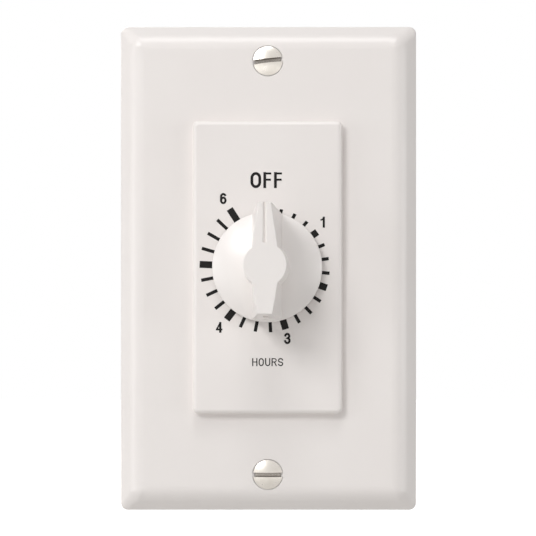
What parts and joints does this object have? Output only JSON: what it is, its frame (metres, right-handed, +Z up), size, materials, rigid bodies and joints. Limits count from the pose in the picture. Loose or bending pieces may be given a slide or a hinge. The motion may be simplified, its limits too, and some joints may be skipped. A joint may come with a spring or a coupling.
{
  "type": "timer light switch",
  "caption": "White wall timer switch: bevelled decorator plate with slotted screws, raised dial plate, pointer knob, spring-wound movement and switch behind.",
  "frame": {"origin": "on the wall's surface, on the knob's axis, midway between the two box screws", "axes": "+X right as the room sees it, +Y into the wall, +Z up"},
  "size_m": [0.0698, 0.0626, 0.1142],
  "materials": {
    "white_plastic": "smooth moulded white",
    "knob_plastic": "smooth moulded white",
    "nickel_screw": "bright nickel plate",
    "zinc_steel": "dull zinc plate",
    "green_screw": "green plated",
    "red_fibre": "pressed fibre",
    "cover_plastic": "translucent natural moulding",
    "black_phenolic": "dull moulded black",
    "brass": "stamped and turned",
    "bronze": "spring bronze",
    "spring_steel": "blued spring steel",
    "bright_steel": "turned and polished",
    "silver": "silver alloy",
    "nylon": "natural nylon"
  },
  "bodies": {
    "base": {"wall_plate": "white_plastic", "wall_plate_screws": "nickel_screw", "dial_plate": "white_plastic", "yoke": "zinc_steel", "box_screws": "zinc_steel", "screw_retainers": "red_fibre", "earth_screw": "green_screw", "front_bush": "brass", "front_plate": "zinc_steel", "rear_plate": "zinc_steel", "pillars": "brass", "front_screws": "zinc_steel", "rear_screws": "zinc_steel", "movement_cover": "cover_plastic", "insulator": "red_fibre", "switch_housing": "black_phenolic", "line_terminal": "brass", "load_terminal": "brass", "terminal_screws": "brass", "fixed_contact": "silver", "arm_post": "brass", "arm_bow_spring": "spring_steel", "mainspring": "spring_steel", "spring_post": "bright_steel", "balance_spring": "spring_steel", "hair_stud": "brass"},
    "knob_body": {"knob": "knob_plastic", "knob_clip": "spring_steel", "arbor": "bright_steel", "clutch_washer": "bronze", "clutch_ring": "spring_steel", "switch_cam": "nylon"},
    "main_wheel_body": {"main_wheel": "brass"},
    "second_arbor": {"second_pinion": "bright_steel", "second_wheel": "brass"},
    "third_arbor": {"third_pinion": "bright_steel", "third_wheel": "brass"},
    "fourth_arbor": {"fourth_pinion": "bright_steel", "fourth_wheel": "brass"},
    "escape_arbor": {"escape_pinion": "bright_steel", "escape_wheel": "brass"},
    "lever_body": {"pallet_lever": "brass", "pallet_arbor": "bright_steel", "pallet_pins": "bright_steel"},
    "balance_body": {"balance_wheel": "brass", "balance_staff": "bright_steel", "impulse_pin": "bright_steel"},
    "contact_body": {"contact_arm": "bronze", "cam_follower": "nylon", "moving_contact": "silver"}
  },
  "joints": [
    {"name": "knob_turn", "type": "hinge", "parent": "base", "child": "knob_body", "pos_m": [0, 0.01, 0], "axis": [0, 1, 0], "range_deg": [0, 327], "deforming": ["mainspring"]},
    {"name": "contact_swing", "type": "hinge", "parent": "base", "child": "contact_body", "pos_m": [-0.012, 0.01, -0.0165], "axis": [0, 1, 0], "range_deg": [0, 5.3], "deforming": ["arm_bow_spring"]},
    {"name": "main_wheel_turn", "type": "hinge", "parent": "base", "child": "main_wheel_body", "pos_m": [0, 0.01, 0], "axis": [0, 1, 0], "continuous": true},
    {"name": "second_turn", "type": "hinge", "parent": "base", "child": "second_arbor", "pos_m": [-0.00675, 0.01, -0.01169], "axis": [0, 1, 0], "continuous": true},
    {"name": "third_turn", "type": "hinge", "parent": "base", "child": "third_arbor", "pos_m": [0.00392, 0.01, -0.01516], "axis": [0, 1, 0], "continuous": true},
    {"name": "fourth_turn", "type": "hinge", "parent": "base", "child": "fourth_arbor", "pos_m": [0.01217, 0.01, -0.0104], "axis": [0, 1, 0], "continuous": true},
    {"name": "escape_turn", "type": "hinge", "parent": "base", "child": "escape_arbor", "pos_m": [0.01355, 0.01, -0.00252], "axis": [0, 1, 0], "continuous": true},
    {"name": "lever_rock", "type": "hinge", "parent": "base", "child": "lever_body", "pos_m": [0.01355, 0.01, 0.00441], "axis": [0, 1, 0], "range_deg": [-5, 5]},
    {"name": "balance_swing", "type": "hinge", "parent": "base", "child": "balance_body", "pos_m": [0.00954, 0.01, 0.01302], "axis": [0, 1, 0], "range_deg": [-16.6, 16.6], "deforming": ["balance_spring"]}
  ],
  "couplings": [
    {"joint": "second_turn", "follows": "main_wheel_turn", "ratio": -8},
    {"joint": "third_turn", "follows": "main_wheel_turn", "ratio": 60},
    {"joint": "fourth_turn", "follows": "main_wheel_turn", "ratio": -450},
    {"joint": "escape_turn", "follows": "main_wheel_turn", "ratio": 3150},
    {"joint": "contact_swing", "follows": "knob_turn", "ratio": 0.015951},
    {"joint": "balance_swing", "follows": "lever_rock", "ratio": -3.3182}
  ]
}
